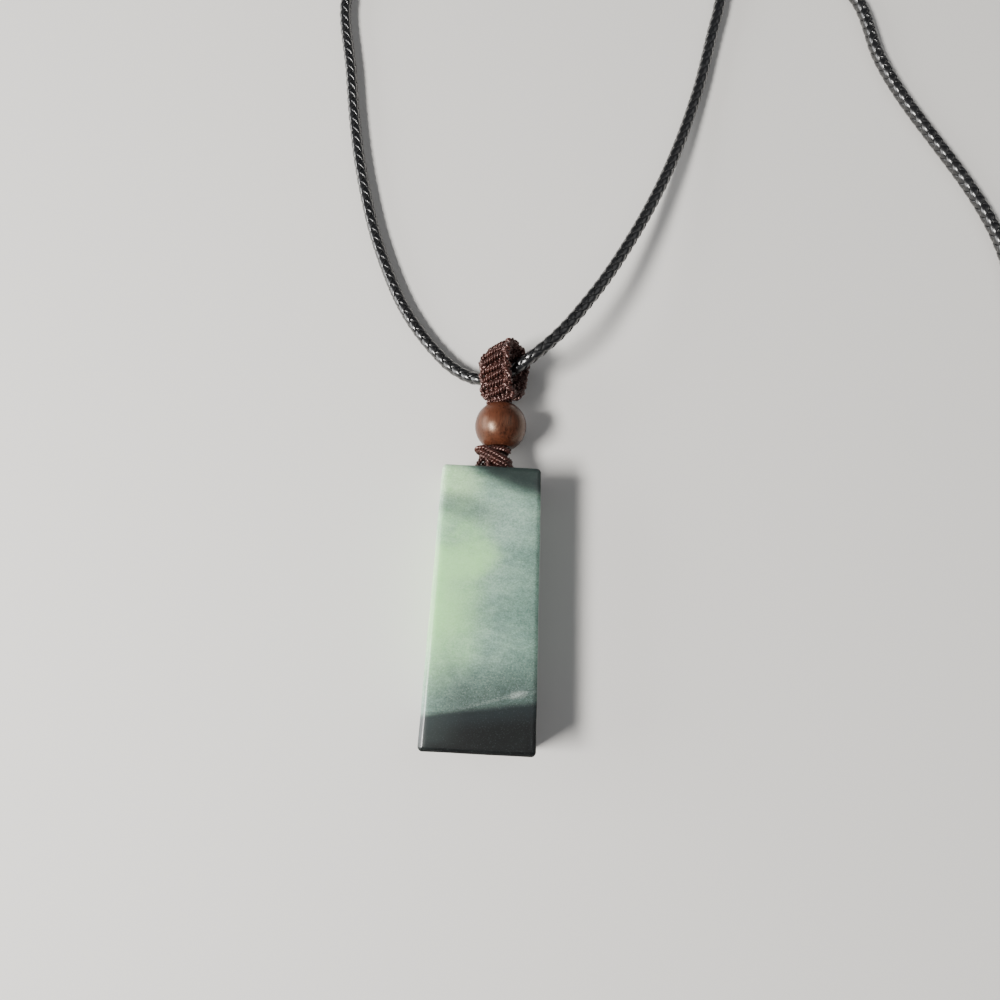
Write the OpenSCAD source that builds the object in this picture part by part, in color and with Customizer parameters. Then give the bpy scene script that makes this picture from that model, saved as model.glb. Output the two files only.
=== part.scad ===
// Jade plaque pendant on a braided neck cord, lying on its back.
// Millimetres. +X across the plaque, +Y from the plaque's foot to the bail, +Z up out of its face.
// The origin lies under the middle of the pendant (plaque, knot, bead and bail), on the surface it rests on.

/* [Plaque] */
// Length of the plaque from foot to head
plaque_l = 39.4; // [30:0.1:50]
// Width of the plaque at its head
plaque_head_w = 14.2; // [12:0.1:18]
// Width of the plaque at its foot
plaque_foot_w = 15.8; // [12:0.1:20]
// Thickness of the plaque
plaque_t = 8; // [6:0.1:9]
// Radius of the rounded edges and corners
plaque_edge_r = 0.7; // [0.5:0.1:1.5]
// Distance from the middle to the mouth of each drilled hole
hole_x = 2.1; // [1.6:0.1:3]
// How deep below the head the two holes meet
hole_depth = 5; // [3:0.1:8]
// Diameter of each drilled hole
hole_d = 1.6; // [1.4:0.1:2]

/* [Thread] */
// Diameter of the thread in the plaque's holes
thread_d = 1.3; // [0.8:0.1:1.3]
// Height of the knot between the plaque and the bead
knot_h = 3.85; // [2.5:0.05:6]
// Diameter of the knot under the bead
knot_d = 5.4; // [3:0.1:6]
// How far the knot sits to the right of the plaque's middle line
knot_x = 0.1; // [-1:0.1:1]
// Diameter of the knot's two feet, where it enters the holes
knot_foot_d = 1.9; // [1.7:0.1:2.4]

/* [Bead] */
// Diameter of the wooden bead
bead_d = 7.7; // [6:0.1:7.9]
// Length of the bead along its hole
bead_l = 6.6; // [5:0.1:7]
// Diameter of the bead's hole
bead_bore_d = 1.9; // [1.6:0.1:2.4]
// Diameter of the thread core that runs through the bead
core_d = 1.6; // [1:0.1:1.6]
// How far the bead sits to the right of the plaque's middle line
bead_x = 0.9; // [-1:0.1:1]

/* [Bail] */
// Length of the braided loop from the bead to its top
bail_l = 10.35; // [9:0.05:12]
// Width of the braided band
band_w = 5; // [4:0.1:5]
// Thickness of the braided band
band_t = 2; // [1.6:0.1:2]
// Radius of the band's middle line at the loop's top
bail_top_r = 2.8; // [2.8:0.05:2.9]
// Radius of the band's middle line at the loop's foot
bail_foot_r = 2; // [1.9:0.1:2.2]
// How far the loop is twisted about its length
bail_twist = 36; // [30:1:42]
// How far the loop's top sits to the right of the plaque's middle line
bail_x = 1.6; // [1:0.05:1.8]
// Height of the loop's middle above the surface
bail_z = 4.3; // [4.25:0.05:4.5]

/* [Neck cord] */
// Diameter of the neck cord
cord_d = 2; // [1.5:0.1:2]
// Sides of the neck cord's tube
cord_sides = 8; // [8:1:12]
// Longest step between two rings of the tube
cord_step = 6.6; // [5:0.1:10]

/* [Clasp] */
// Diameter of the barrel clasp
clasp_d = 4.2; // [3.6:0.1:4.3]
// Length of the barrel clasp
clasp_l = 14; // [10:0.5:18]
// Chamfer at the barrel's ends
clasp_chamfer = 0.4; // [0.2:0.1:0.6]
// Width of the turned groove round the barrel's middle
clasp_groove_w = 0.5; // [0.3:0.1:1]
// Depth of the turned groove
clasp_groove_depth = 0.25; // [0.1:0.05:0.4]
// Depth of the hole at each end that takes the cord
clasp_bore_depth = 3; // [2:0.5:5]
// Diameter of those holes
clasp_bore_d = 2.2; // [2.2:0.1:2.6]

/* [Hidden] */

// Small gap between neighbouring pieces
gap = 0.05;
// Fineness of round parts
fine = 96;
// Fineness of the balls that round the plaque's corners
ball_fn = 32;
// Height of the thread's line, which is the plaque's mid thickness
thread_z = plaque_t / 2;

// Stations along the pendant, with its middle at y = 0
pendant_l = plaque_l + knot_h + bead_l + bail_l;
foot_y = -pendant_l / 2;
head_y = foot_y + plaque_l;
bead_foot_y = head_y + knot_h;
bead_head_y = bead_foot_y + bead_l;
bail_head_y = bead_head_y + bail_l;

// Angle of each drilled hole from the plaque's long direction
hole_angle = atan(hole_x / hole_depth);
hole_l = norm([hole_x, hole_depth]);

// Centres of the two arcs of the bail's middle line
bail_top_y = bail_head_y - band_t / 2 - bail_top_r;
bail_foot_y = bead_head_y + gap + band_t / 2 + bail_foot_r;
// Angle by which each arc runs past the half circle
bail_lap = asin((bail_top_r - bail_foot_r) / (bail_top_y - bail_foot_y));
// Angle between two rings on the band, and sides of the band's section
band_step = 9;
band_sides = 20;
// Power of the rounded section: 1 is an ellipse, smaller is squarer
band_power = 0.6;

// Place and height of the clasp's middle
clasp_x = 96;
clasp_y = 70.2;
clasp_z = 2.15;

// Route of the neck cord, from the clasp round the loop and back to it.
// Each row is x, y, z of the cord's middle line.
cord_route = [
    [96, 74.2, 2.15], [96, 79.7, 2.15], [94.5, 96.2, 1.1], [87, 108.7, 1.1], [58, 114.2, 1.1],
    [14, 114.7, 1.1], [-16, 112.7, 1.1], [-26.5, 107.2, 1.1], [-30, 98.2, 1.1], [-28, 79.2, 1.1],
    [-24.5, 60.2, 1.1], [-20, 45.7, 1.1], [-14.5, 34.7, 1.1], [-10.5, 29.7, 1.1], [-7, 26.4, 1.4],
    [-3.5, 24.6, 2.1], [-0.5, 24.4, 3.2], [2, 25, 4.8], [4.5, 26.5, 6.1], [8, 29.5, 6.7],
    [14, 37.5, 6.1], [20, 48.2, 4.5], [26, 61.7, 2.6], [31.5, 78.7, 1.2], [35, 94.2, 1.1],
    [37, 101.7, 1.1], [43.5, 107.2, 1.1], [52, 106.7, 1.1], [58.8, 101.2, 1.1], [63.3, 87.2, 1.1],
    [81, 52.2, 1.1], [84, 30.2, 1.1], [86, 21.2, 1.1], [90, 19.5, 1.1], [94, 21.2, 1.1],
    [96, 30.2, 1.1], [96.3, 43.2, 1.1], [96.2, 51.2, 1.3], [96, 60.7, 2.15], [96, 66.2, 2.15]
];

function unit(v) = v / norm(v);

// Direction of the cord at a route point, weighted towards the nearer neighbour.
function route_dir(p, i) =
    i == 0 ? unit(p[1] - p[0]) :
    i == len(p) - 1 ? unit(p[i] - p[i - 1]) :
    let (a = p[i] - p[i - 1], b = p[i + 1] - p[i], la = norm(a), lb = norm(b))
    (a / la * lb + b / lb * la) / (la + lb);

// Point and direction at t = 0 to 1 between route points i and i + 1, on a cubic through both.
function route_point(p, i, t) =
    let (h = norm(p[i + 1] - p[i]))
    (2 * t ^ 3 - 3 * t ^ 2 + 1) * p[i] + (t ^ 3 - 2 * t ^ 2 + t) * h * route_dir(p, i)
    + (3 * t ^ 2 - 2 * t ^ 3) * p[i + 1] + (t ^ 3 - t ^ 2) * h * route_dir(p, i + 1);

function route_slope(p, i, t) =
    let (h = norm(p[i + 1] - p[i]))
    unit((6 * t ^ 2 - 6 * t) * p[i] + (3 * t ^ 2 - 4 * t + 1) * h * route_dir(p, i)
    + (6 * t - 6 * t ^ 2) * p[i + 1] + (3 * t ^ 2 - 2 * t) * h * route_dir(p, i + 1));

// One ring of a tube round point c, square to direction d.
function ring(c, d, r, sides) =
    let (side = unit(cross(d, [0, 0, 1])), up = cross(side, d))
    [for (k = [0:sides - 1]) c + r * (cos(360 * k / sides) * side + sin(360 * k / sides) * up)];

// Faces that join rings of equal size: the walls between them, and the two end caps if the row is open.
function ring_walls(rings, sides, closed) =
    [for (i = [0:rings - (closed ? 1 : 2)], k = [0:sides - 1])
        [i * sides + k, i * sides + (k + 1) % sides,
         ((i + 1) % rings) * sides + (k + 1) % sides, ((i + 1) % rings) * sides + k]];
function end_caps(rings, sides) =
    [[for (k = [sides - 1:-1:0]) k], [for (k = [0:sides - 1]) (rings - 1) * sides + k]];

// Ball with a point at each pole, so that a hull of balls has faces at its full size.
module ball(r) {
    rotate_extrude($fn = ball_fn)
        polygon([for (a = [0:360 / ball_fn:180]) [r * sin(a), r * cos(a)]]);
}

// Round bar along +Y from y0 to y1, through x and z.
module bar(x, z, y0, y1, d) {
    translate([x, y0, z])
        rotate([-90, 0, 0])
            cylinder(d = d, h = y1 - y0, $fn = fine);
}

// V-shaped tunnel, rounded where its legs meet: over is how far the legs run past the mouths.
module tunnel(d, over) {
    translate([0, head_y - hole_depth, thread_z]) {
        sphere(d = d, $fn = fine);
        for (side = [-1, 1])
            rotate([-90, 0, -side * hole_angle])
                cylinder(d = d, h = hole_l + over, $fn = fine);
    }
}

// Four-sided jade plaque, rounded at every edge, a little wider at its foot,
// drilled from its head end with two slanting holes that meet inside.
module jade_plaque() {
    r = plaque_edge_r;
    color("#a5b5a6")
    difference() {
        hull()
            for (side = [-1, 1], z = [r, plaque_t - r]) {
                translate([side * (plaque_head_w / 2 - r), head_y - r, z]) ball(r);
                translate([side * (plaque_foot_w / 2 - r), foot_y + r, z]) ball(r);
            }
        tunnel(hole_d, 2);
    }
}

// Knotted thread: a bundle that spreads from the bead to the two holes, and a leg down each hole.
module base_knot() {
    knot_rim = 0.9;
    foot_rim = 0.3;
    color("#5b2b20") {
        hull() {
            bar(knot_x, thread_z, bead_foot_y - gap - knot_rim, bead_foot_y - gap, knot_d);
            for (side = [-1, 1])
                bar(side * hole_x, thread_z, head_y + gap, head_y + gap + foot_rim, knot_foot_d);
        }
        tunnel(thread_d, gap + foot_rim);
    }
}

// Drilled wooden bead: a ball with flat ends round its hole.
module wood_bead() {
    color("#7a4030")
    translate([bead_x, bead_foot_y + bead_l / 2, thread_z])
        rotate([-90, 0, 0])
            difference() {
                intersection() {
                    sphere(d = bead_d, $fn = fine);
                    cylinder(d = bead_d + 1, h = bead_l, center = true, $fn = fine);
                }
                cylinder(d = bead_bore_d, h = bead_l + 1, center = true, $fn = fine);
            }
}

// Point of the bail: u across the loop, y along the pendant, h along the loop's hole.
// The loop leans from the bead's line towards its own, and is twisted about its length.
function bail_point(u, y, h) =
    let (lean = (y - bead_head_y) / bail_l)
    [bead_x + (bail_x - bead_x) * lean + h * cos(bail_twist) - u * sin(bail_twist),
     y,
     thread_z + (bail_z - thread_z) * lean + h * sin(bail_twist) + u * cos(bail_twist)];

// One ring of the band, at angle a of an arc with its middle at y and middle-line radius r.
function band_ring(y, r, a) =
    [for (k = [0:band_sides - 1])
        let (c = cos(360 * k / band_sides), s = sin(360 * k / band_sides),
             out = r + band_t / 2 * sign(s) * abs(s) ^ band_power,
             along = band_w / 2 * sign(c) * abs(c) ^ band_power)
        bail_point(out * cos(a), y + out * sin(a), along)];

// Braided band closed to a loop, with the thread core that runs on through the bead.
module braided_bail() {
    top_turn = 180 + 2 * bail_lap;
    foot_turn = 180 - 2 * bail_lap;
    top_n = ceil(top_turn / band_step);
    foot_n = ceil(foot_turn / band_step);
    rings = concat(
        [for (i = [0:top_n]) band_ring(bail_top_y, bail_top_r, -bail_lap + top_turn * i / top_n)],
        [for (i = [0:foot_n]) band_ring(bail_foot_y, bail_foot_r, 180 + bail_lap + foot_turn * i / foot_n)]
    );
    color("#4a221b") {
        polyhedron(points = [for (r = rings) each r], faces = ring_walls(len(rings), band_sides, true));
        bar(bead_x, thread_z, bead_foot_y, bead_head_y + gap + band_t / 2, core_d);
    }
}

// Round neck cord: one tube along the whole route.
module neck_cord() {
    p = cord_route;
    stations = [for (i = [0:len(p) - 2])
        let (n = max(1, round(norm(p[i + 1] - p[i]) / cord_step)))
        each [for (k = [0:n - 1]) [i, k / n]]];
    last = len(p) - 2;
    rings = concat(
        [for (s = stations)
            ring(route_point(p, s[0], s[1]), route_slope(p, s[0], s[1]), cord_d / 2, cord_sides)],
        [ring(route_point(p, last, 1), route_slope(p, last, 1), cord_d / 2, cord_sides)]
    );
    color("#1a1a1c")
    polyhedron(
        points = [for (r = rings) each r],
        faces = concat(ring_walls(len(rings), cord_sides, false), end_caps(len(rings), cord_sides))
    );
}

// Plain barrel clasp, turned from rod, with a hole at each end that the cord is glued into.
module clasp() {
    r = clasp_d / 2;
    half = clasp_l / 2;
    bore_r = clasp_bore_d / 2;
    floor_y = half - clasp_bore_depth;
    groove_r = r - clasp_groove_depth;
    groove_half = clasp_groove_w / 2;
    color("#b9bbbd")
    translate([clasp_x, clasp_y, clasp_z])
        rotate([-90, 0, 0])
            rotate_extrude($fn = fine)
                polygon([
                    [0, -floor_y], [bore_r, -floor_y], [bore_r, -half], [r - clasp_chamfer, -half],
                    [r, clasp_chamfer - half], [r, -groove_half], [groove_r, -groove_half],
                    [groove_r, groove_half], [r, groove_half], [r, half - clasp_chamfer],
                    [r - clasp_chamfer, half], [bore_r, half], [bore_r, floor_y], [0, floor_y]
                ]);
}

jade_plaque();
base_knot();
wood_bead();
braided_bail();
neck_cord();
clasp();
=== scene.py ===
"""Jade plaque pendant with a thread knot, a wooden bead, a knotted bail, a waxed neck cord and a clasp.

It lies on its back on a pale floor. Everything is in metres, in the frame of the CAD model: +X across
the plaque, +Y from its foot to the bail, +Z up out of its face, with the floor at z = 0.
"""

import bmesh
import bpy
import numpy as np
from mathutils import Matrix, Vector


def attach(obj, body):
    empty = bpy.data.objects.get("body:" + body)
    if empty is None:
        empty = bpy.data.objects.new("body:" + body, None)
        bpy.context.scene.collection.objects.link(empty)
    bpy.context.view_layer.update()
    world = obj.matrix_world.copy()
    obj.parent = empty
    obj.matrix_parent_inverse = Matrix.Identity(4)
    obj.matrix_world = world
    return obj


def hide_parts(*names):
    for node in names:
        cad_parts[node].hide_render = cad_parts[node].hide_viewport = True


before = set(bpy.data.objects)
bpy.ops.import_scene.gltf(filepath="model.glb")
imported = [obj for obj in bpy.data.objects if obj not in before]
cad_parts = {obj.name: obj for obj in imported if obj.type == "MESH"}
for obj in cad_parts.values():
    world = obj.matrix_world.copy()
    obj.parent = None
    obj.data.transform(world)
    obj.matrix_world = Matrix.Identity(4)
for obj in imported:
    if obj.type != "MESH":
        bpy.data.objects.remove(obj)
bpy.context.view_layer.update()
mm = 0.001


# View: a phone's wide lens about 110 mm over the pendant, tilted 12 degrees along it.
# The picture leans 2.86 degrees away from the plaque's long axis.
view_data = bpy.data.cameras.new("view")
view_data.sensor_width = 36
view_data.lens = 25.99
view_data.clip_start = 5 * mm
view_data.clip_end = 20
view = bpy.data.objects.new("view", view_data)
view.location = (2.46 * mm, -16.88 * mm, 107.79 * mm)
view.rotation_euler = np.radians((12, 0, 2.86))
bpy.context.scene.collection.objects.link(view)
bpy.context.scene.camera = view


# Neck cord: a round braid of eight waxed cotton yarns, each over two and under two, 2 mm thick.
# Its ends are glued into the clasp. It runs through the bail and lies in a loose loop on the floor.
cord_route = np.array([
    (96, 74.2, 2.15), (96, 79.7, 2.15), (94.5, 96.2, 1.1), (87, 108.7, 1.1), (58, 114.2, 1.1),
    (14, 114.7, 1.1), (-16, 112.7, 1.1), (-26.5, 107.2, 1.1), (-30, 98.2, 1.1), (-28, 79.2, 1.1),
    (-24.5, 60.2, 1.1), (-20, 45.7, 1.1), (-14.5, 34.7, 1.1), (-10.5, 29.7, 1.1), (-7, 26.4, 1.4),
    (-3.5, 24.6, 2.1), (-0.5, 24.4, 3.2), (2, 25, 4.8), (4.5, 26.5, 6.1), (8, 29.5, 6.7),
    (14, 37.5, 6.1), (20, 48.2, 4.5), (26, 61.7, 2.6), (31.5, 78.7, 1.2), (35, 94.2, 1.1),
    (37, 101.7, 1.1), (43.5, 107.2, 1.1), (52, 106.7, 1.1), (58.8, 101.2, 1.1), (63.3, 87.2, 1.1),
    (81, 52.2, 1.1), (84, 30.2, 1.1), (86, 21.2, 1.1), (90, 19.5, 1.1), (94, 21.2, 1.1),
    (96, 30.2, 1.1), (96.3, 43.2, 1.1), (96.2, 51.2, 1.3), (96, 60.7, 2.15), (96, 66.2, 2.15),
]) * mm
yarn_lead = 7 * mm                  # one yarn's whole turn round the cord
yarn_ring = 0.34 * mm               # step between two rings of a yarn's mesh
yarn_sides = 8                      # mesh points round one yarn
yarn_mid = 0.56 * mm                # middle of the yarns' in and out weaving, from the cord's line
yarn_weave = 0.22 * mm              # how far a yarn weaves out and in from there
yarn_half = (0.6 * mm, 0.23 * mm)   # half the width and thickness of a yarn
span_steps = 24                     # points worked out between two given points of a line


def unit(v):
    """Each vector divided by its length."""
    return v / np.linalg.norm(v, axis=-1, keepdims=True)


def smooth_line(points, step):
    """Points a step apart on a smooth line through the given ones.

    Between two points it is the cubic that leaves and arrives in their directions. A point's
    direction is the mean of its two chords' directions, each weighted by the other chord's length.
    """
    chord = np.diff(points, axis=0)
    reach = np.linalg.norm(chord, axis=1, keepdims=True)
    heading = chord / reach
    middle = (heading[:-1] * reach[1:] + heading[1:] * reach[:-1]) / (reach[:-1] + reach[1:])
    heading = np.vstack([heading[:1], middle, heading[-1:]])[:, None]
    a, b, reach = points[:-1, None], points[1:, None], reach[:, None]
    t = np.linspace(0, 1, span_steps, endpoint=False)[None, :, None]
    curve = ((2 * t ** 3 - 3 * t ** 2 + 1) * a + (t ** 3 - 2 * t ** 2 + t) * reach * heading[:-1]
             + (3 * t ** 2 - 2 * t ** 3) * b + (t ** 3 - t ** 2) * reach * heading[1:])
    curve = np.vstack([curve.reshape(-1, 3), points[-1:]])
    along = run_of(curve)
    at = np.linspace(0, along[-1], int(round(along[-1] / step)) + 1)
    return np.stack([np.interp(at, along, curve[:, i]) for i in range(3)], axis=1)


def run_of(line):
    """Length along a line at each of its points."""
    return np.concatenate([[0], np.cumsum(np.linalg.norm(np.diff(line, axis=0), axis=1))])


def new_piece(name, points, faces, lay=None):
    """A smooth mesh object from points and faces, riding on the root body.

    lay is the UV place of every face corner, in the faces' order.
    """
    data = bpy.data.meshes.new(name)
    data.from_pydata(points.tolist(), [], faces)
    if lay is not None:
        data.uv_layers.new(name="lay").data.foreach_set("uv", np.ravel(lay))
    data.shade_smooth()
    data.update()
    piece = bpy.data.objects.new(name, data)
    bpy.context.scene.collection.objects.link(piece)
    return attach(piece, "root")


def strand_faces(strands, rings, sides):
    """Faces of equal strands of rings, and the UV place of every corner.

    Side wall: each ring's point k joins its neighbour k + 1 and the same two on the next ring.
    Each end is one face. A UV place is (ring, k / sides).
    """
    s, i, k = np.meshgrid(np.arange(strands), np.arange(rings - 1), np.arange(sides), indexing="ij")
    s, i, k = s.ravel(), i.ravel(), k.ravel()
    base = (s * rings + i) * sides
    turn = (k + 1) % sides
    walls = np.stack([base + k, base + turn, base + sides + turn, base + sides + k], axis=1)
    places = np.stack([
        np.stack([i, i, i + 1, i + 1], axis=1),
        np.stack([k, k + 1, k + 1, k], axis=1) / sides,
    ], axis=2)
    first = np.arange(strands)[:, None] * rings * sides
    caps = np.vstack([first + np.arange(sides)[::-1], first + (rings - 1) * sides + np.arange(sides)])
    return walls, caps, places


def strands_piece(name, rings, step):
    """A piece from an array of strands, each a row of rings of points, with UV u in millimetres."""
    strands, count, sides, _ = rings.shape
    walls, caps, places = strand_faces(strands, count, sides)
    places = places * (step / mm, 1)
    lay = np.concatenate([places.reshape(-1, 2), np.zeros((caps.size, 2))])
    return new_piece(name, rings.reshape(-1, 3), walls.tolist() + caps.tolist(), lay)


def braid(line):
    """Rings of the eight yarns round a line.

    Four yarns turn right and four turn left, each once in a lead. A yarn's distance from the line
    is the middle one minus or plus the weave times the sine of twice its angle, so right-hand yarns
    are on top in two quarters of the cord and left-hand ones in the other two. A yarn's section is
    an oval, wide along the cord's skin.
    """
    ahead = unit(np.gradient(line, axis=0))
    side = unit(np.cross(ahead, (0, 0, 1)))
    over = np.cross(side, ahead)
    turn = 2 * np.pi * run_of(line) / yarn_lead
    quarter = np.arange(4)[:, None] * np.pi / 2
    right, left = turn + quarter, -turn + quarter + np.pi / 4
    angle = np.vstack([right, left])
    weave = np.vstack([-np.sin(2 * right), np.sin(2 * left)])
    out = np.cos(angle)[..., None] * side + np.sin(angle)[..., None] * over
    middle = line + (yarn_mid + yarn_weave * weave)[..., None] * out
    across = unit(np.cross(unit(np.gradient(middle, axis=1)), out))
    round_yarn = 2 * np.pi * np.arange(yarn_sides) / yarn_sides
    wide, thick = yarn_half[0] * np.cos(round_yarn), yarn_half[1] * np.sin(round_yarn)
    return (middle[:, :, None] + wide[:, None] * across[:, :, None]
            + thick[:, None] * out[:, :, None])


def tone(code):
    """Linear colour of a six-digit hex code."""
    c = np.array([int(code[i:i + 2], 16) for i in (0, 2, 4)]) / 255
    c = np.where(c > 0.04045, ((c + 0.055) / 1.055) ** 2.4, c / 12.92)
    return (*c.tolist(), 1)


def finish(name, **settings):
    """A new material, its node tree and its main shader, with the shader's own values set."""
    material = bpy.data.materials.new(name)
    material.use_nodes = True
    shader = material.node_tree.nodes["Principled BSDF"]
    for key, value in settings.items():
        shader.inputs[key.replace("_", " ")].default_value = value
    return material, material.node_tree, shader


def node(tree, kind, inputs, out=0, **settings):
    """A new node's output. Each input is a value, or the output that feeds it."""
    made = tree.nodes.new("ShaderNode" + kind)
    for key, value in settings.items():
        setattr(made, key, value)
    for key, value in inputs.items():
        if isinstance(value, bpy.types.NodeSocket):
            tree.links.new(value, made.inputs[key])
        else:
            made.inputs[key].default_value = value
    return made.outputs[out]


def calc(tree, operation, *values):
    """One step of arithmetic on values or outputs."""
    return node(tree, "Math", dict(enumerate(values)), operation=operation)


def ease(tree, value, low, high):
    """Smooth rise from 0 at low to 1 at high."""
    return node(tree, "MapRange", {0: value, 1: low, 2: high}, interpolation_type="SMOOTHSTEP")


def tint(tree, amount, a, b, blend="MIX"):
    """Colour a, with as much of colour b as the amount says."""
    return node(tree, "Mix", {0: amount, 6: a, 7: b}, out=2, data_type="RGBA", blend_type=blend)


def stretched(tree, at, scale, turn=0):
    """The place times the scale, then turned about z by an angle in radians."""
    return node(tree, "Mapping", {0: at, 2: (0, 0, turn), 3: scale})


def place_in_mm(tree):
    """Object place of the point that is shaded, in millimetres."""
    return stretched(tree, node(tree, "TexCoord", {}, out=3), (1000, 1000, 1000))


def place_on_thread(tree, scale):
    """UV place of the point that is shaded, along its thread and round it, times the scale."""
    return stretched(tree, node(tree, "TexCoord", {}, out=2), scale)


def grain(tree, at, scale, detail=2, roughness=0.5):
    """Cloudy noise from 0 to 1."""
    return node(tree, "TexNoise", {0: at, "Scale": scale, "Detail": detail, "Roughness": roughness})


def gloss(tree, shader, pattern, low, high):
    """The shader's roughness, from low to high as the pattern goes from 0.3 to 0.7."""
    rough = node(tree, "MapRange", {0: pattern, 1: 0.3, 2: 0.7, 3: low, 4: high})
    tree.links.new(rough, shader.inputs["Roughness"])


def dent(tree, shader, height, depth, strength):
    """Bump on the shader from a height between 0 and 1, depth metres deep."""
    bump = node(tree, "Bump", {"Strength": strength, "Distance": depth, "Height": height})
    tree.links.new(bump, shader.inputs["Normal"])


def waxed_cotton():
    """Black cotton yarn under wax: fine fibres along each yarn, and wax that is glossier in places."""
    material, tree, shader = finish("waxed_cotton", Specular_IOR_Level=0.6, Coat_Weight=0.7,
                                    Coat_Roughness=0.16)
    fibres = grain(tree, place_on_thread(tree, (0.9, 14, 1)), 1, 3, 0.6)
    wax = grain(tree, place_in_mm(tree), 0.7, 3)
    colour = tint(tree, ease(tree, fibres, 0.35, 0.75), tone("050506"), tone("131314"))
    tree.links.new(colour, shader.inputs["Base Color"])
    gloss(tree, shader, wax, 0.24, 0.4)
    dent(tree, shader, fibres, 0.03 * mm, 0.6)
    return material


cord_line = smooth_line(cord_route, yarn_ring)
neck_cord = strands_piece("waxed_braid", braid(cord_line), yarn_ring)
neck_cord.data.materials.append(waxed_cotton())
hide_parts("neck_cord")


# Clasp: a plain barrel turned from steel rod, 14 mm long, with a groove round its middle.
# A 3 mm deep hole at each end takes the cord, glued in. It lies beyond the picture's edge.
clasp_middle = np.array((96, 70.2, 2.15)) * mm
clasp_radius, clasp_half = 2.1, 7           # its radius and half its length
clasp_bore, clasp_floor = 1.1, 4            # radius of its holes, and their floors' place along it
end_round, mouth_round = 0.4, 0.15          # rounding of its ends and of its holes' mouths
groove_half, groove_deep = 0.25, 0.25       # half the groove's width, and its depth
floor_bevel, groove_bevel = 0.1, 0.05       # bevels round the holes' floors and along the groove
turned_sides = 96                           # mesh points round a turned piece
seam_gap = 0.0001 * mm                      # points nearer than this become one


def arc(centre, radius, start, stop, steps):
    """Points of an arc in the profile's plane, as (distance from the axis, place along it)."""
    a = np.radians(np.linspace(start, stop, steps))
    return np.array(centre) + radius * np.stack([np.cos(a), np.sin(a)], axis=1)


def turned(name, profile, middle, closed):
    """A piece turned about the line through its middle along +Y.

    The profile is (distance from the axis, place along it) in millimetres. Point (i, k) of the
    mesh is profile point i, turned by k / sides of a whole turn. A closed profile is a ring, and
    an open one has both ends on the axis.
    """
    profile = np.array(profile) * mm
    a = 2 * np.pi * np.arange(turned_sides) / turned_sides
    points = np.stack([
        profile[:, :1] * np.sin(a), profile[:, 1:] + 0 * a, profile[:, :1] * np.cos(a),
    ], axis=2) + middle
    rows = len(profile) if closed else len(profile) - 1
    i, k = np.meshgrid(np.arange(rows), np.arange(turned_sides), indexing="ij")
    i, k = i.ravel(), k.ravel()
    after, turn = (i + 1) % len(profile), (k + 1) % turned_sides
    faces = np.stack([i * turned_sides + k, i * turned_sides + turn,
                      after * turned_sides + turn, after * turned_sides + k], axis=1)
    lay = np.stack([np.stack([k, k + 1, k + 1, k], axis=1) / turned_sides,
                    np.stack([i, i, i + 1, i + 1], axis=1) / len(profile)], axis=2)
    piece = new_piece(name, points.reshape(-1, 3), faces.tolist(), lay.reshape(-1, 2))
    close_seams(piece)
    return piece


def close_seams(piece):
    """Points that lie on each other become one, and every face points outwards."""
    work = bmesh.new()
    work.from_mesh(piece.data)
    bmesh.ops.remove_doubles(work, verts=work.verts, dist=seam_gap)
    bmesh.ops.recalc_face_normals(work, faces=work.faces)
    work.to_mesh(piece.data)
    work.free()


def turned_steel():
    """Bright steel with the lathe's fine rings round it, and a few handling marks."""
    material, tree, shader = finish("turned_steel", Metallic=1, Base_Color=tone("c3c2be"))
    at = place_in_mm(tree)
    rings = grain(tree, stretched(tree, at, (0.05, 9, 0.05)), 2, 3)
    gloss(tree, shader, grain(tree, at, 1.2, 4), 0.2, 0.34)
    dent(tree, shader, rings, 0.01 * mm, 0.7)
    return material


half_profile = np.vstack([
    [(0, clasp_floor), (clasp_bore - floor_bevel, clasp_floor), (clasp_bore, clasp_floor + floor_bevel)],
    arc((clasp_bore + mouth_round, clasp_half - mouth_round), mouth_round, 180, 90, 5),
    arc((clasp_radius - end_round, clasp_half - end_round), end_round, 90, 0, 9),
    [(clasp_radius, groove_half + groove_bevel), (clasp_radius - groove_bevel, groove_half)],
    [(clasp_radius - groove_deep, groove_half)],
])
clasp_profile = np.vstack([half_profile, half_profile[::-1] * (1, -1)])
barrel = turned("barrel_clasp", clasp_profile, clasp_middle, False)
barrel.data.materials.append(turned_steel())
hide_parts("clasp")


# Jade plaque: sawn, ground and polished from celadon jade with two slate zones, 39 x 16 x 8 mm.
# It is a little wider at its foot. Two slanting holes, drilled from the head, meet inside.
plaque_foot, plaque_head = -30.1, 9.3           # its ends along y
plaque_foot_half, plaque_head_half = 7.9, 7.1   # half its width at each end
plaque_thick = 8
edge_size = np.array((0.7, 0.7, 0.42))          # how far the edges' bevel reaches along x, y and z
edge_flat = 1.3                                 # 1 is a flat bevel, 2 a round edge
slab_steps = (24, 64, 10)                       # mesh steps over the flat along x, y and z
edge_steps = 8                                  # mesh steps over half an edge
hand_waste = 0.05                               # ground off all over, in edge sizes: just over the swell
hole_reach = 2.1                                # the holes' mouths, from the plaque's middle
hole_deep, hole_width = 5, 1.6                  # depth where the holes meet, and their diameter
drill_sides, drill_step = 24, 0.25              # mesh points round the drill's tube, and its step
drill_past = 1.5                                # how far the tube runs on past each mouth
thread_height = 4                               # height of the threads' line, half way up the plaque


def slab_stations(half, edge, steps):
    """Stations from one side to the other: even on the flat, and even in angle round each edge."""
    flat = np.linspace(-(half - edge), half - edge, steps + 1)
    bend = half - edge + edge * np.tan(np.linspace(0, np.pi / 4, edge_steps + 1))[1:]
    return np.concatenate([-bend[::-1], flat, bend])


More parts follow.
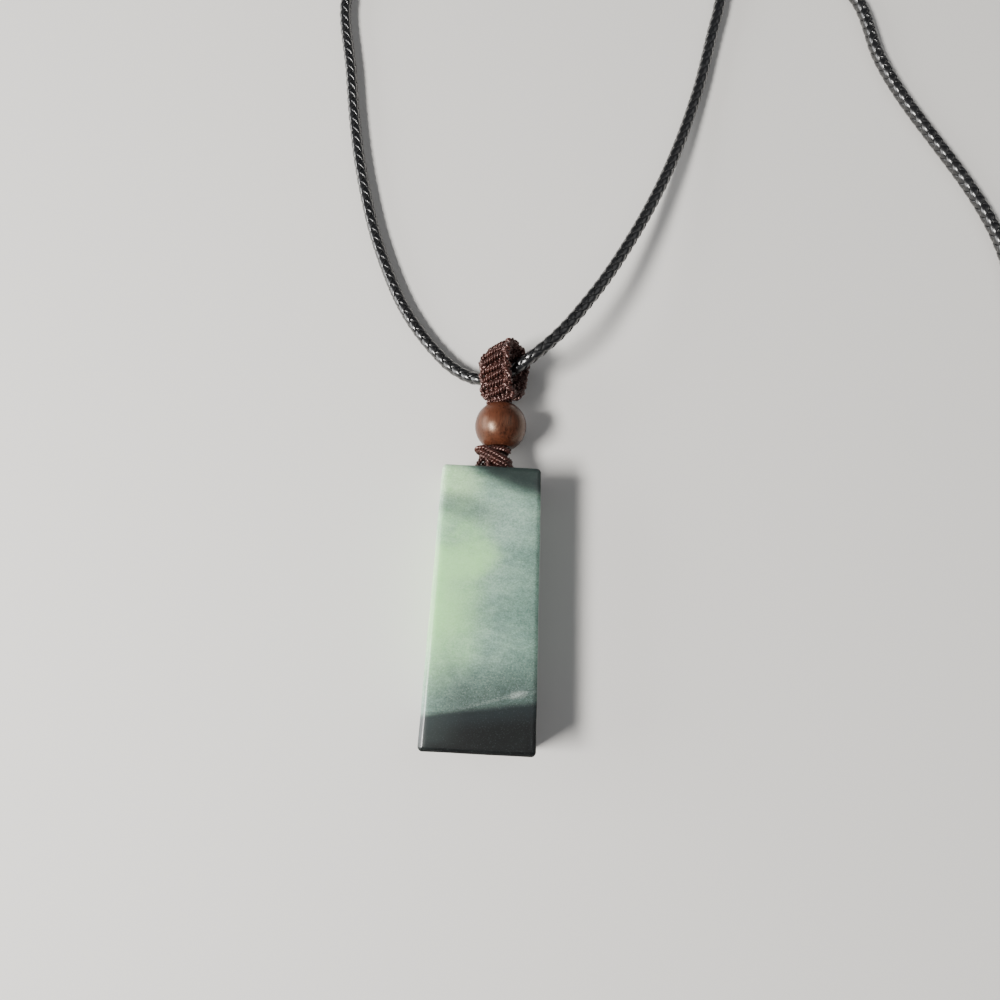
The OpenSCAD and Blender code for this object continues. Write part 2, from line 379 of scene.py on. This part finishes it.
def polished_slab():
    """Points and faces of the plaque: six grids on a box, pulled in to its bevelled form.

    A point of the box is split into the nearest point of the inner box, which is the box less the
    edges' size, and a direction from it, measured in edge sizes. The result is the inner point plus
    a step in that direction, as long as makes the level and the upright part, each to the power
    edge_flat, add up to 1. The inner box is narrower towards the head. The faces are ground by
    hand, so they swell and dip by a few hundredths of a millimetre, as two crossing waves.
    """
    half = np.array((plaque_foot_half, (plaque_head - plaque_foot) / 2, plaque_thick / 2))
    inner = half - edge_size
    stations = [slab_stations(*sizes) for sizes in zip(half, edge_size, slab_steps)]
    points, faces, start = [], [], 0
    for axis in range(3):
        for sign in (-1, 1):
            u, v = [a for a in range(3) if a != axis]
            gu, gv = np.meshgrid(stations[u], stations[v], indexing="ij")
            grid = np.empty(gu.shape + (3,))
            grid[..., u], grid[..., v], grid[..., axis] = gu, gv, sign * half[axis]
            points.append(grid.reshape(-1, 3))
            i, j = np.meshgrid(np.arange(gu.shape[0] - 1), np.arange(gu.shape[1] - 1), indexing="ij")
            corner = start + (i * gu.shape[1] + j).ravel()
            after = corner + gu.shape[1]
            faces.append(np.stack([corner, after, after + 1, corner + 1], axis=1))
            start += gu.size
    points = np.vstack(points)
    core = np.clip(points, -inner, inner)
    out = unit((points - core) / edge_size)
    level, upright = np.hypot(out[:, 0], out[:, 1]), np.abs(out[:, 2])
    reach = (level ** edge_flat + upright ** edge_flat) ** (-1 / edge_flat)
    along = (core[:, 1] + half[1]) / (2 * half[1])
    narrow = (plaque_foot_half + (plaque_head_half - plaque_foot_half) * along - edge_size[0]) / inner[0]
    core[:, 0] *= narrow
    x, y, z = core.T
    hand = 0.025 * np.sin(0.55 * x + 0.31 * y + 1) + 0.02 * np.sin(0.9 * y - 0.4 * x + 0.7 * z)
    points = core + (reach - hand_waste + hand)[:, None] * edge_size * out
    points += (0, (plaque_head + plaque_foot) / 2, plaque_thick / 2)
    points[:, 2] = np.maximum(points[:, 2], 0)
    return points * mm, np.vstack(faces)


def drill():
    """Closed tube along the plaque's two holes: out of one mouth, down it, round, and up the other."""
    turn = np.array([(-1.6, 3.8), (-1, 2.4), (-0.45, 1), (0, 0.35), (0.45, 1), (1, 2.4), (1.6, 3.8)])
    path = np.array([(-hole_reach, hole_deep), *turn, (hole_reach, hole_deep)])
    past = unit(path[-1] - turn[-1]) * drill_past
    path = np.vstack([path[:1] + past * (-1, 1), path, path[-1:] + past])
    x, y = path.T
    line = np.stack([x, plaque_head - hole_deep + y, 0 * x + thread_height], axis=1)
    line = smooth_line(line * mm, drill_step * mm)
    ahead = unit(np.gradient(line, axis=0))
    side = np.cross(ahead, (0, 0, 1))
    a = 2 * np.pi * np.arange(drill_sides) / drill_sides
    ring = np.cos(a)[:, None] * side[:, None] + np.sin(a)[:, None] * np.array((0, 0, 1))
    return line[:, None] + ring * hole_width / 2 * mm


def times(tree, a, b):
    """Product of two values."""
    return calc(tree, "MULTIPLY", a, b)


def stain(tree, colour, amount, mask, code):
    """The colour with as much of the hex colour as the mask says, at most the amount."""
    return tint(tree, times(tree, mask, amount), colour, tone(code))


def patch(tree, x, y, stray, oval):
    """1 inside a leaning oval in the plaque's plane and 0 outside, over a soft ragged edge.

    The oval is its middle's x and y, its two half sizes, its lean in degrees, how soft its edge is
    and how far it strays. The place is turned by the lean and divided by the half sizes. Its
    length, plus the stray, falls through 1 at the edge.
    """
    mid_x, mid_y, half_x, half_y, lean, soft, ragged = oval
    c, s = np.cos(np.radians(lean)), np.sin(np.radians(lean))
    dx, dy = calc(tree, "SUBTRACT", x, mid_x), calc(tree, "SUBTRACT", y, mid_y)
    u = calc(tree, "ADD", times(tree, dx, c / half_x), times(tree, dy, s / half_x))
    v = calc(tree, "ADD", times(tree, dx, -s / half_y), times(tree, dy, c / half_y))
    far = calc(tree, "SQRT", calc(tree, "ADD", times(tree, u, u), times(tree, v, v)))
    far = calc(tree, "ADD", far, times(tree, stray, ragged))
    return ease(tree, far, 1 + soft, 1 - soft)


def above(tree, x, y, stray, line):
    """Height in millimetres above a line across the plaque, which strays a little.

    The line is a point's x and y, its slope there, its bow, which is the rise per square
    millimetre, and how far it strays.
    """
    start, level, slope, bow, ragged = line
    dx = calc(tree, "SUBTRACT", x, start)
    rise = calc(tree, "ADD", level, times(tree, dx, slope))
    rise = calc(tree, "ADD", rise, times(tree, times(tree, dx, dx), bow))
    rise = calc(tree, "ADD", rise, times(tree, stray, ragged))
    return calc(tree, "SUBTRACT", y, rise)


# Ovals of the plaque's yellow-green patch, in the order that patch() reads.
yellow_ovals = [
    (-6.5, -4.4, 4.6, 5.4, -20, 0.8, 3),        # its upper part, left of the middle
    (-6.9, -11, 5.4, 7, 0, 0.8, 1.4),           # its lower part, down the left side
    (-3.9, -5.7, 4, 2.2, 26, 0.9, 3),           # the lobe that reaches up to the right
]

# Clouds in the jade: how strong, their colour, and their oval.
clouds = [
    (0.8, "bee0b2", (-5.6, 6.9, 3.8, 2.8, -10, 0.6, 1)),        # pale green at the head's left corner
    (0.7, "76907f", (-3.2, 2.9, 4.8, 1.5, -12, 0.7, 1.4)),      # grey bar below it
    (0.3, "b5cdbf", (3.2, 1.1, 3.6, 2.6, -25, 0.7, 1.6)),       # pale cloud right of the bar
    (0.42, "66867a", (3.6, -11.2, 5.5, 2, 4, 0.7, 1.2)),        # blue-grey cloud low at the right
]


def celadon():
    """Jade, coloured in zones through its thickness.

    Grey-green celadon with a yellow-green patch left of the middle, blue-grey clouds, a slate wedge
    across the right of the head, a grey band over a slate foot, a broken white vein between them,
    and a sugary grain that is finest in the yellow patch. Painted shade darkens the right side, most
    at the lower right.
    """
    material, tree, shader = finish("celadon_jade", Subsurface_Weight=1, Subsurface_Scale=2.5 * mm,
                                    Subsurface_Radius=(1, 1, 1), Coat_Weight=0.3, Coat_Roughness=0.2)
    at = place_in_mm(tree)
    stray = calc(tree, "SUBTRACT", grain(tree, at, 0.16, 3, 0.55), 0.5)
    split = tree.nodes.new("ShaderNodeSeparateXYZ")
    tree.links.new(at, split.inputs[0])
    x, y = split.outputs[:2]
    cloudy = grain(tree, stretched(tree, at, (1, 2.1, 1), 0.5), 0.3, 4, 0.6)
    mottle = grain(tree, stretched(tree, at, (0.8, 1.2, 1), 0.5), 1.3, 4, 0.75)
    sugar = grain(tree, stretched(tree, at, (1, 1.25, 1)), 3.4, 3, 0.7)
    specks = grain(tree, at, 5.5, 2, 0.6)

    # The celadon itself, with painted shade greying it towards the lower right, then its patch and its
    # clouds.
    colour = tint(tree, ease(tree, cloudy, 0.34, 0.68), tone("84a294"), tone("9dbba9"))
    # Painted shade: a darker grey-green over the right side, most at the lower right.
    colour = stain(tree, colour, 0.5, times(tree, ease(tree, x, 0, 7), ease(tree, y, 4, -3)), "64857a")
    yellow = patch(tree, x, y, stray, yellow_ovals[0])
    for oval in yellow_ovals[1:]:
        yellow = calc(tree, "MAXIMUM", yellow, patch(tree, x, y, stray, oval))
    colour = stain(tree, colour, 0.92, yellow, "b0e2a3")
    for amount, code, oval in clouds:
        colour = stain(tree, colour, amount, patch(tree, x, y, stray, oval), code)

    # The grey band over the foot, weaker at the left, and painted shade that makes the right side a little
    # greyer.
    band = ease(tree, above(tree, x, y, stray, (0, -19.4, 0.12, 0, 4)), 4, -4)
    colour = stain(tree, colour, 0.86, times(tree, band, ease(tree, x, -10, -2)), "465652")
    # Painted shade: the last few millimetres at the right side greyer, as if less lit.
    colour = stain(tree, colour, 0.2, ease(tree, x, 4, 8.5), "4c6058")

    # The grain: soft mottling, sugar, and bright and dark specks, all finer in the yellow patch.
    coarse = calc(tree, "SUBTRACT", 1, times(tree, yellow, 0.6))
    for amount, pattern, dark, light in ((0.4, mottle, "909090", "e0e0e0"), (0.5, sugar, "3c3c3c", "c8c8c8")):
        grey = tint(tree, ease(tree, pattern, 0.3, 0.7), tone(dark), tone(light))
        colour = tint(tree, times(tree, coarse, amount), colour, grey, "SOFT_LIGHT")
    bright = times(tree, ease(tree, specks, 0.56, 0.72), coarse)
    colour = stain(tree, colour, 0.18, bright, "e4ece2")
    colour = stain(tree, colour, 0.22, times(tree, ease(tree, specks, 0.44, 0.3), coarse), "46564f")

    # The slate wedge across the head's right corner, with a soft bowed lower side.
    head = above(tree, x, y, stray, (3, 6.25, -0.345, 0.025, 0.7))
    wedge = calc(tree, "ADD", times(tree, ease(tree, head, -2.6, 1.8), 0.5),
                 times(tree, ease(tree, head, -1.1, 0.9), 0.44))
    colour = stain(tree, colour, 1, wedge, "131b1d")

    # The slate foot fades in over a millimetre and darkens below, most at the right.
    foot = above(tree, x, y, stray, (0, -24.25, 0.145, 0, 0.5))
    slate = tint(tree, ease(tree, foot, -0.6, -3), tone("192123"), tone("070a09"))
    slate = stain(tree, slate, 0.5, times(tree, ease(tree, x, -1, -8), ease(tree, foot, -5, -3)), "3c4846")
    slate = stain(tree, slate, 0.35, bright, "4a5453")
    colour = tint(tree, ease(tree, foot, 0.6, -0.5), colour, slate)

    # The vein is a thin sugary line over the foot's edge, and a white cloud near its right end.
    line = above(tree, x, y, stray, (0, -23.62, 0.27, 0, 0.5))
    vein = times(tree, ease(tree, calc(tree, "ABSOLUTE", line), 0.4, 0.05), ease(tree, sugar, 0.35, 0.6))
    colour = stain(tree, colour, 0.14, times(tree, vein, ease(tree, x, -6, 1)), "c9d4cc")
    white = patch(tree, x, y, stray, (5, -22.2, 1.2, 0.5, 14, 0.9, 4))
    colour = stain(tree, colour, 0.45, times(tree, white, ease(tree, sugar, 0.25, 0.6)), "d2dcd4")
    tree.links.new(colour, shader.inputs["Base Color"])
    gloss(tree, shader, sugar, 0.3, 0.42)
    dent(tree, shader, sugar, 0.01 * mm, 0.3)
    return material


slab_points, slab_faces = polished_slab()
plaque = new_piece("polished_plaque", slab_points, slab_faces.tolist())
close_seams(plaque)
drill_bit = strands_piece("drill_bit", drill()[None], drill_step * mm)
close_seams(drill_bit)
bore = plaque.modifiers.new("holes", "BOOLEAN")
bore.operation, bore.solver, bore.object = "DIFFERENCE", "EXACT", drill_bit
bpy.context.view_layer.objects.active = plaque
bpy.ops.object.modifier_apply(modifier=bore.name)
bpy.data.objects.remove(drill_bit)
plaque.data.shade_smooth()
plaque.data.set_sharp_from_angle(angle=np.radians(40))
plaque.data.materials.append(celadon())
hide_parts("jade_plaque")


# Base knot: three-ply nylon thread, passed through the plaque's two holes and knotted on its head.
# Three turns show, slanting down to the right, over the two legs that come out of the holes.
thread_ring = 0.1 * mm              # step between two rings of a thread's mesh
ply_sides = 6                       # mesh points round one ply
ply_share = 0.46                    # a ply's radius, as a share of its thread's
knot_thread = 0.43                  # radius of a thread
leg_thread = 0.64                   # radius of the threads in a hole, taken together
knot_lead = 1.4 * mm                # one whole twist of a thread
wrap_points = 60                    # points worked out along the wraps
bead_x = 0.9                        # the threads go up into the bead a little right of the middle


def steady_frame(line):
    """Two directions square to a line at each point, carried along it without spinning.

    A first pair is taken from a fixed direction. How far it spins between neighbours, against the
    same pair carried straight over, is summed along the line and taken off.
    """
    ahead = unit(np.gradient(line, axis=0))
    side = unit(np.cross(ahead, (0.31, 0.42, 0.85)))
    over = np.cross(side, ahead)
    a, b, s = ahead[:-1], ahead[1:], side[:-1]
    carried = unit(s - (s * (a + b)).sum(1, keepdims=True) / (1 + (a * b).sum(1, keepdims=True)) * (a + b)
                   + (2 * (s * a).sum(1, keepdims=True)) * b)
    spin = np.arctan2((carried * over[1:]).sum(1), (carried * side[1:]).sum(1))
    spin = np.concatenate([[0], np.cumsum(spin)])[:, None]
    return np.cos(spin) * side + np.sin(spin) * over, np.cos(spin) * over - np.sin(spin) * side


def three_ply(line, radius, lead):
    """Rings of a thread of three plies twisted together.

    The section is three round lobes. Its radius at angle a is the ply's middle distance times
    cos a plus the root of what is left of the ply's own radius, a being measured from the lobe's
    middle. The whole section turns once in a lead.
    """
    out, over = steady_frame(line)
    sides = 3 * ply_sides
    k = np.arange(sides)
    lobe = 2 * np.pi * ((k % ply_sides) / ply_sides - 0.5 + 0.5 / ply_sides) / 3
    ply = radius * ply_share
    middle = radius - ply
    skin = middle * np.cos(lobe) + np.sqrt(np.maximum(ply ** 2 - (middle * np.sin(lobe)) ** 2, 0))
    angle = 2 * np.pi * k / sides + 2 * np.pi * run_of(line)[:, None] / lead
    return (line[:, None] + (skin * np.cos(angle))[..., None] * out[:, None]
            + (skin * np.sin(angle))[..., None] * over[:, None])


def threads_piece(name, lines, radii, lead):
    """A piece from several threads, each with its radius, and UV u along them in millimetres."""
    points, faces, lays, start = [], [], [], 0
    for line, radius in zip(lines, radii):
        rings = three_ply(line, radius, lead)
        walls, caps, places = strand_faces(1, len(rings), rings.shape[1])
        points.append(rings.reshape(-1, 3))
        faces += (walls + start).tolist() + (caps + start).tolist()
        lays += [(places * (thread_ring / mm, 3)).reshape(-1, 2), np.zeros((caps.size, 2))]
        start += len(points[-1])
    return new_piece(name, np.vstack(points), faces, np.concatenate(lays))


def nylon():
    """Red-brown nylon thread with a soft sheen: fine filaments along each ply, dark in the creases."""
    material, tree, shader = finish("nylon_thread", Specular_IOR_Level=1, Specular_Tint=tone("f6d0c8"),
                                    Sheen_Weight=0.08, Sheen_Roughness=0.4, Sheen_Tint=tone("d9b8a8"))
    filaments = grain(tree, place_on_thread(tree, (1.2, 16, 1)), 1, 3, 0.6)
    fade = grain(tree, place_in_mm(tree), 0.6, 3)
    colour = tint(tree, ease(tree, filaments, 0.3, 0.75), tone("170908"), tone("3b1c18"))
    colour = stain(tree, colour, 0.4, ease(tree, fade, 0.4, 0.7), "4a281f")
    tree.links.new(colour, shader.inputs["Base Color"])
    gloss(tree, shader, filaments, 0.2, 0.36)
    dent(tree, shader, filaments, 0.02 * mm, 0.6)
    return material


def knot_turns():
    """Line of the knot's three wraps, as (x, height above the plaque's head, z).

    It is an oval coil that steps down towards the plaque. Its left end draws in as it goes down and
    its right end moves out, and on top each wrap slants down to the right.
    """
    a = np.linspace(-0.6 * np.pi, 5.6 * np.pi, wrap_points)
    t = (a - a[0]) / (a[-1] - a[0])
    left, right, deep = -2.45 + 1.7 * t ** 2, 2.45 + 0.55 * t, 1.7 - 0.75 * t
    x = (left + right) / 2 + (right - left) / 2 * np.sin(a)
    y = 2.75 - 0.95 * np.sin(a) - 0.8 * a / (2 * np.pi)
    z = thread_height + deep * np.cos(a)
    return np.stack([x, np.clip(y, 0.65, 3.35), z], axis=1)


# Threads of the knot, as (x, height above the plaque's head, z): the wraps, two threads up from
# the left hole and one from the right, a turn close under the bead, and the lowest pass, which
# lies along the head.
under_bead = (bead_x, 4.2, thread_height)
knot_lines = [
    np.vstack([under_bead, (0.4, 3.5, 4), knot_turns(), (2.3, 0.6, 4.2), (2, -0.2, 4)]),
    np.array([
        (-2, -0.2, 4), (-2.25, 0.5, 4), (-2, 1.3, 4.2), (-1.2, 2.2, 4.4), (-0.2, 2.9, 4.3), (0.9, 3.5, 4.2),
        under_bead,
    ]),
    np.array([
        (-1.7, -0.9, 4), (-1.9, 0.5, 3.7), (-1.2, 1.3, 3.6), (0, 2.3, 3.7), (0.6, 3.3, 3.9), under_bead,
    ]),
    np.array([(1.8, -0.9, 4), (2.1, 0.5, 3.8), (1.6, 1.9, 3.6), (1.2, 3.2, 3.9), under_bead]),
    np.array([
        (1.6, 2.9, 3.6), (2.3, 3.2, 4.2), (1.9, 3.35, 5.1), (0.9, 3.35, 5.5), (-0.2, 3.3, 5.1),
        (-0.6, 3.3, 4), (-0.2, 3.3, 2.9), (0.9, 3.3, 2.5), (1.8, 3.2, 3), (1.7, 2.7, 3.8),
    ]),
    np.array([
        (-0.6, 2.5, 4.2), (-0.75, 1.5, 5), (-0.5, 0.65, 5.2), (0.6, 0.55, 5.1), (1.9, 0.55, 4.8),
        (2.7, 0.5, 4.3), (2.1, -0.1, 4),
    ]),
]
in_holes = drill().mean(axis=1)[3:-3]       # the holes' middle line, less half of what lies outside
knot_lines = [smooth_line((line + (0, plaque_head, 0)) * mm, thread_ring) for line in knot_lines]
knot_radii = [knot_thread * mm] * len(knot_lines) + [leg_thread * mm]
knot_lines.append(smooth_line(in_holes, thread_ring))
base_knot = threads_piece("thread_knot", knot_lines, knot_radii, knot_lead)
base_knot.data.materials.append(nylon())
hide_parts("base_knot")


# Bead: a 7.7 mm ball of red-brown wood, turned and drilled along its grain, then waxed.
# It is threaded between the knot and the bail, which hold it.
bead_middle = np.array((bead_x, 16.45, thread_height)) * mm
bead_radius, bead_bore = 3.85, 0.95             # radii of the ball and of its hole
bead_half = 3.3                                 # half its length along the hole
cap_angle = 54                                  # where the ball ends, in degrees from its waist
shoulder_middle, shoulder_round = 1.78, 0.35    # the rounding from the ball to its flat end
bore_round = 0.25                               # the rounding into the hole


def waxed_wood():
    """Red-brown wood with its grain along the hole: long fine fibres, short dark pores, soft wax."""
    material, tree, shader = finish("waxed_wood", Specular_IOR_Level=0.65, Specular_Tint=tone("ffe0c4"))
    at = place_in_mm(tree)
    fibres = grain(tree, stretched(tree, at, (5.5, 0.45, 5.5)), 1, 4, 0.65)
    bands = grain(tree, stretched(tree, at, (1, 0.12, 1)), 0.7, 2)
    pores = grain(tree, stretched(tree, at, (9, 1.1, 9)), 1, 1)
    colour = tint(tree, ease(tree, fibres, 0.32, 0.7), tone("2b150d"), tone("522d1e"))
    colour = stain(tree, colour, 0.4, ease(tree, bands, 0.4, 0.65), "5e3422")
    colour = stain(tree, colour, 0.5, ease(tree, pores, 0.63, 0.72), "1e0d08")
    tree.links.new(colour, shader.inputs["Base Color"])
    gloss(tree, shader, fibres, 0.25, 0.4)
    dent(tree, shader, fibres, 0.02 * mm, 0.5)
    return material


bead_end = np.vstack([
    arc((0, 0), bead_radius, 0, cap_angle, 25),
    arc((shoulder_middle, bead_half - shoulder_round), shoulder_round, 50, 90, 5),
    arc((bead_bore + bore_round, bead_half - bore_round), bore_round, 90, 180, 7),
    [(bead_bore, 1.5), (bead_bore, 0)],
])
bead_profile = np.vstack([bead_end, bead_end[-2:0:-1] * (1, -1)])
bead = turned("turned_bead", bead_profile, bead_middle, True)
bead.data.materials.append(waxed_wood())
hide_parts("wood_bead")


# Bail: a flat-knotted band of the same thread over five core threads, closed to a loop on the bead.
# It leans and is twisted, so its outside shows. The core threads run down through the bead.
bail_foot, bail_top = 19.75, 30.1               # its ends along the pendant
bail_lean = ((0.95, 4), (1.2, 4.3))             # x and z of the loop's middle at its foot and its top
bail_twist = np.radians(32)
top_arc, foot_arc = (26.1, 2.7), (22.8, 2)      # place along the pendant and radius of its middle line
band_half = 2.2                                 # from the band's middle to its outermost threads' middle
band_slant = 0.3                                # rise across the band, but not at its lower left
band_taper = 0.3                                # share of its width that the band loses at the top
full_knots = 9                                  # flat knots all round the band, of two halves each
half_knot_shift = 0.14                          # how much nearer a knot's halves are than two knots
bail_thread, bail_core = 0.46, 0.43             # radii of the knotting threads and the core threads
core_places = (-1.6, -0.8, 0, 0.8, 1.6)         # the core threads' places over the band's width
core_way = (0.79, 1.7, 40)                      # their way round the loop, from, to and points
core_close = 0.3                                # share of their spread that is left in the bead
bail_lead = 1.4 * mm                            # one whole twist of a thread


def on_band(run, across, out):
    """Points of the band, in metres.

    run is the way round the loop's middle line, 0 to 1, from the right end of the top arc. The
    middle line is a belt round two circles. across is the place over the band's width, and out the
    height outside its middle line, both in millimetres. From 65 to 90 % of the way up the band
    grows narrower, and its left side takes on the slant from 10 to 35 %.
    """
    (top, wide), (foot, tight) = top_arc, foot_arc
    lap = np.arcsin((wide - tight) / (top - foot))
    straight = np.sqrt((top - foot) ** 2 - (wide - tight) ** 2)
    parts = np.cumsum([0, wide * (np.pi + 2 * lap), straight, tight * (np.pi - 2 * lap), straight])
    s = (run % 1) * parts[-1]
    on_top, on_left = s < parts[1], (s >= parts[1]) & (s < parts[2])
    on_foot = (s >= parts[2]) & (s < parts[3])
    turn_top = -lap + s / wide
    turn_foot = np.pi + lap + (s - parts[2]) / tight
    turn = np.where(on_top, turn_top, np.where(on_left, np.pi + lap,
                    np.where(on_foot, turn_foot, 2 * np.pi - lap)))
    ahead = np.where(on_left, s - parts[1], np.where(s >= parts[3], s - parts[3], 0))
    centre = np.where(on_top | on_left, top, foot)
    radius = np.where(on_top | on_left, wide, tight)
    u = (radius + out) * np.cos(turn) - ahead * np.sin(turn)
    y = centre + (radius + out) * np.sin(turn) + ahead * np.cos(turn)
    lean = (y - bail_foot) / (bail_top - bail_foot)
    across = across * (1 - band_taper * np.clip(4 * lean - 2.6, 0, 1))
    y = y + band_slant * across * np.where(across > 0, 1, np.clip(4 * lean - 0.4, 0, 1))
    (x0, z0), (x1, z1) = bail_lean
    c, s = np.cos(bail_twist), np.sin(bail_twist)
    return np.stack([x0 + (x1 - x0) * lean + across * c - u * s, y,
                     z0 + (z1 - z0) * lean + across * s + u * c], axis=-1) * mm


# One half of a flat knot: (way down it, place across in half widths, height out in mm).
# The front thread crosses from left to right and ends under the back one, which crosses behind
# the core and comes up through the front one's bend. The next half is its mirror image.
front_half = np.array([
    (0, -1, 0), (0.22, -0.96, 0.25), (0.42, -0.6, 0.48), (0.5, -0.1, 0.52), (0.58, 0.4, 0.5),
    (0.76, 0.82, 0.12),
])
back_half = np.array([
    (0, 1, 0), (0.25, 1, 0.38), (0.58, 0.86, 0.56), (0.86, 0.62, 0.2), (0.85, 0.3, -0.4), (0.65, -0.1, -0.5),
    (0.45, -0.45, -0.4), (0.2, -0.62, 0.05), (0.28, -0.84, 0.5), (0.62, -1, 0.44),
])


def knotted(half):
    """Line of one of the two knotting threads, all round the band.

    The half knots, tied by hand, differ a little in place, width and height.
    """
    n = 2 * full_knots
    rows = np.arange(n)[:, None]
    side = np.where(rows % 2 == 0, 1, -1)
    run = (rows - half_knot_shift * (rows % 2) + half[:, 0] + 0.07 * np.sin(3.9 * rows)) / n
    across = side * half[:, 1] * band_half * (1 + 0.05 * np.sin(2.7 * rows + side))
    out = half[:, 2] * (1 + 0.12 * np.sin(5.3 * rows + 1))
    return smooth_line(on_band(run.ravel(), across.ravel(), out.ravel()), thread_ring)


def core_thread(across):
    """Line of a core thread: from the knot's side up through the bead, and once round the loop."""
    run = np.linspace(*core_way)
    loop = on_band(run, across + 0 * run, 0 * run)
    in_bead = [(bead_x + across * core_close, y, thread_height) for y in (13.2, 16.2, 19.2)]
    over_bead = (bead_x + across * 0.42, 20.1, 4.1)
    return smooth_line(np.vstack([np.array([*in_bead, over_bead]) * mm, loop]), thread_ring)


bail_lines = [knotted(front_half), knotted(back_half)] + [core_thread(across) for across in core_places]
bail_radii = [bail_thread * mm] * 2 + [bail_core * mm] * len(core_places)
bail = threads_piece("knotted_bail", bail_lines, bail_radii, bail_lead)
bail.data.materials.append(base_knot.data.materials[0])
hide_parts("braided_bail")


# Floor: a plain pale sheet just under the pendant, in a dim pale room with three soft lamps.
# The key lamp, at the left, makes the shadows. A wide one, low and farther left, lights the left
# sides, and a faint one at the right fills the shadows.
bpy.ops.mesh.primitive_plane_add(size=6, location=(0, 0, -0.02 * mm))
floor = bpy.context.object
floor.name = "floor"
floor.data.materials.append(finish("pale_floor", Base_Color=tone("dcdad6"), Roughness=0.7)[0])

room = bpy.data.worlds.new("room")
room.use_nodes = True
air = room.node_tree.nodes["Background"]
air.inputs["Color"].default_value = (0.9, 0.93, 1, 1)
air.inputs["Strength"].default_value = 0.15
bpy.context.scene.world = room


def lamp(name, at, wide, high, watts, colour=(1, 1, 1)):
    """A soft box that shines at the pendant."""
    light = bpy.data.lights.new(name, "AREA")
    light.shape, light.size, light.size_y = "RECTANGLE", wide, high
    light.energy, light.color = watts, colour
    holder = bpy.data.objects.new(name, light)
    holder.location = at
    aim = Vector((0, 0.01, 0)) - Vector(at)
    holder.rotation_euler = aim.to_track_quat("-Z", "Y").to_euler()
    bpy.context.scene.collection.objects.link(holder)


lamp("key", (-0.38, -0.135, 0.42), 0.26, 0.11, 7.3, (1, 0.98, 0.95))
lamp("low", (-1.38, 0.12, 0.36), 1.2, 0.6, 16.2)
lamp("fill", (0.3, 0.1, 0.5), 0.5, 0.5, 0.5)
